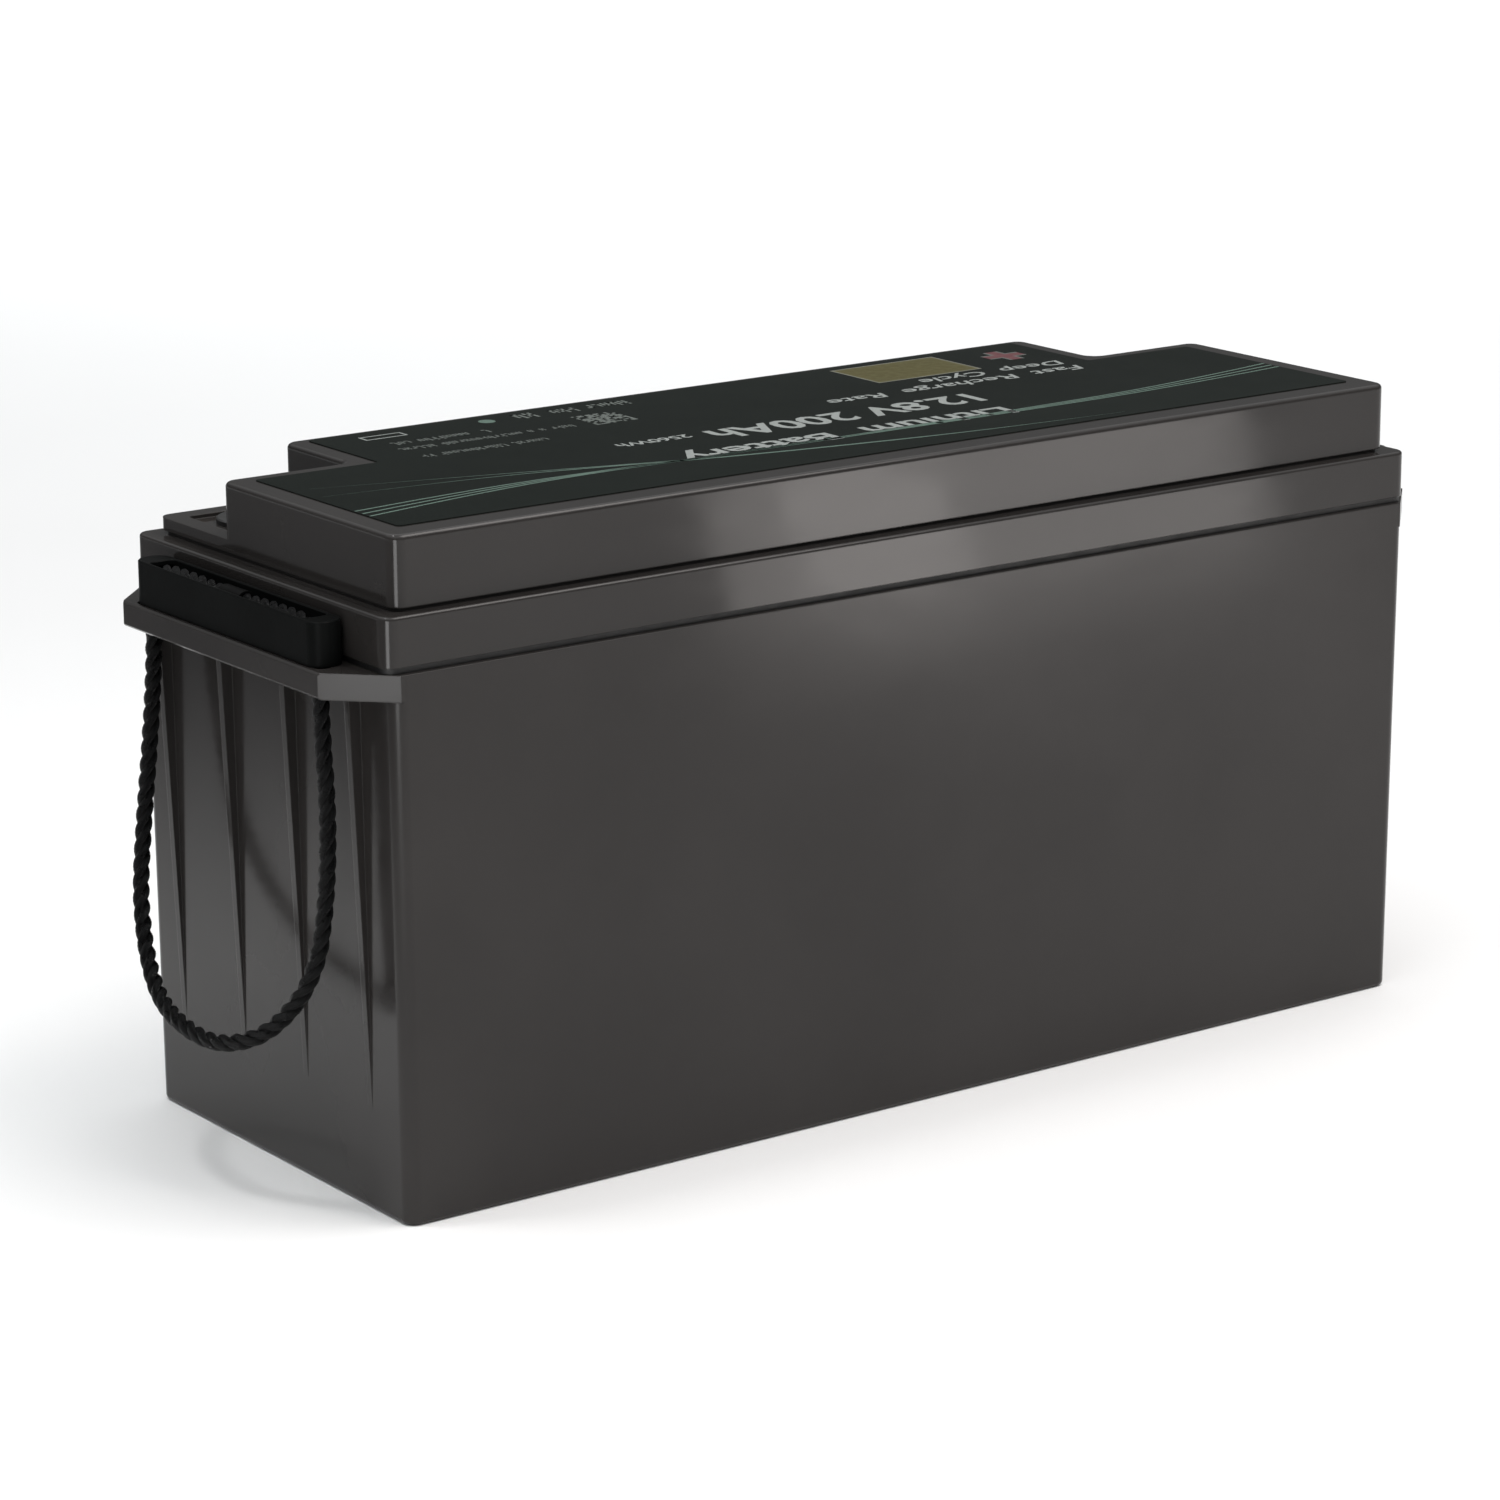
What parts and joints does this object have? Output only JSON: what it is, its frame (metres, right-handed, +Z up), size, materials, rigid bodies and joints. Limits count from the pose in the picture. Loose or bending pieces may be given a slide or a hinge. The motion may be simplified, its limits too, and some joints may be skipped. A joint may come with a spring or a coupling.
{
  "type": "deep cycle battery",
  "caption": "Deep cycle lithium battery in a long dark case with a stepped lid, threaded terminals in rear corner notches and rope lifting handles at both ends.",
  "frame": {"origin": "middle of the case's bottom face, on the surface it stands on", "axes": "+X along the case, +Y to the side with the terminals, +Z up"},
  "size_m": [0.5286, 0.17, 0.2369],
  "materials": {
    "case_plastic": "glossy moulded ABS, dark grey",
    "lid_plastic": "glossy moulded ABS, dark grey",
    "seal_black": "black epoxy bead",
    "label_film": "printed film, dark green-black",
    "brass": "machined",
    "red_plastic": "moulded",
    "black_plastic": "moulded",
    "tinned_copper": "tinned copper",
    "zinc_steel": "zinc plated",
    "grip_plastic": "satin black",
    "rope_fibre": "twisted polypropylene, black",
    "black_rubber": "heat-shrunk tube",
    "cell_wrap": "blue shrink film on an aluminium can",
    "aluminium": "satin",
    "epoxy_sheet": "glass epoxy sheet",
    "strap_steel": "steel strap",
    "foam": "closed cell foam, black",
    "circuit_board": "green solder mask",
    "white_plastic": "moulded",
    "red_silicone": "silicone sheath",
    "black_silicone": "silicone sheath"
  },
  "bodies": {
    "case": {"tub": "case_plastic", "lid": "lid_plastic", "lid_seal": "seal_black", "label": "label_film", "positive_terminal": "brass", "negative_terminal": "brass", "positive_ring": "red_plastic", "negative_ring": "black_plastic", "positive_terminal_lug": "tinned_copper", "negative_terminal_lug": "tinned_copper", "positive_cell_lug": "tinned_copper", "negative_cell_lug": "tinned_copper", "lug_screws": "zinc_steel", "cell_1": "cell_wrap", "cell_2": "cell_wrap", "cell_3": "cell_wrap", "cell_4": "cell_wrap", "cell_posts": "aluminium", "cell_insulators": "black_plastic", "cell_vents": "aluminium", "cell_nuts": "zinc_steel", "busbar_1": "tinned_copper", "busbar_2": "tinned_copper", "busbar_3": "tinned_copper", "row_divider": "epoxy_sheet", "column_dividers": "epoxy_sheet", "cell_straps": "strap_steel", "bottom_pad": "foam", "front_pad": "foam", "back_pad": "foam", "end_pad": "foam", "top_pads": "foam", "board_plate": "epoxy_sheet", "board_standoffs": "brass", "management_board": "circuit_board", "board_screws": "zinc_steel", "mosfets": "black_plastic", "heatsink": "aluminium", "board_terminals": "brass", "sense_connector": "white_plastic", "positive_cable": "red_silicone", "negative_cable": "black_silicone", "cell_negative_cable": "black_silicone", "sense_wires": "red_silicone", "temperature_sensor": "black_plastic"},
    "left_handle": {"left_grip": "grip_plastic", "left_rope": "rope_fibre", "left_rope_sleeve": "black_rubber"},
    "right_handle": {"right_grip": "grip_plastic", "right_rope": "rope_fibre", "right_rope_sleeve": "black_rubber"}
  },
  "joints": [
    {"name": "left_handle_lift", "type": "slide", "parent": "case", "child": "left_handle", "axis": [0, 0, 1], "range_m": [0, 0.1], "deforming": ["left_rope"]},
    {"name": "right_handle_lift", "type": "slide", "parent": "case", "child": "right_handle", "axis": [0, 0, 1], "range_m": [0, 0.1], "deforming": ["right_rope"]}
  ]
}
